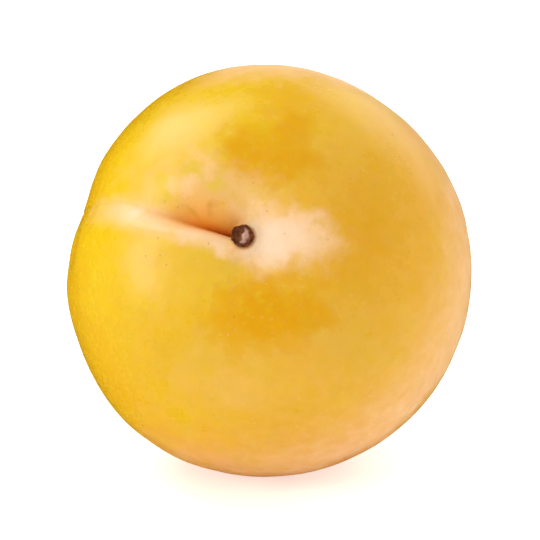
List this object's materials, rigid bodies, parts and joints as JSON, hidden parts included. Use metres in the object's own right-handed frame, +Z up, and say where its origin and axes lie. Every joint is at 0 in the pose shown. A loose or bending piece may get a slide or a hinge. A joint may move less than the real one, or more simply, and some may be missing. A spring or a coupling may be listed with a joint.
{
  "type": "plum",
  "caption": "Round yellow plum lying tipped back, with a stem hollow, a suture groove under a folded lip, a small style tip and a dried stem stub.",
  "frame": {"origin": "on the surface that the fruit rests on, under the middle of its box", "axes": "+Z up from the resting surface; the stem end faces -Y, tipped about 29 degrees above level, and the suture runs round the -X side"},
  "size_m": [0.0508, 0.0506, 0.051],
  "materials": {
    "skin": "waxy amber-yellow skin under a thin pale bloom, satin, with a pale cream star round the stem",
    "dry_stem": "dry brown, fibrous, matte"
  },
  "bodies": {
    "root": {"fruit": "skin", "stem_stub": "dry_stem"}
  },
  "joints": []
}
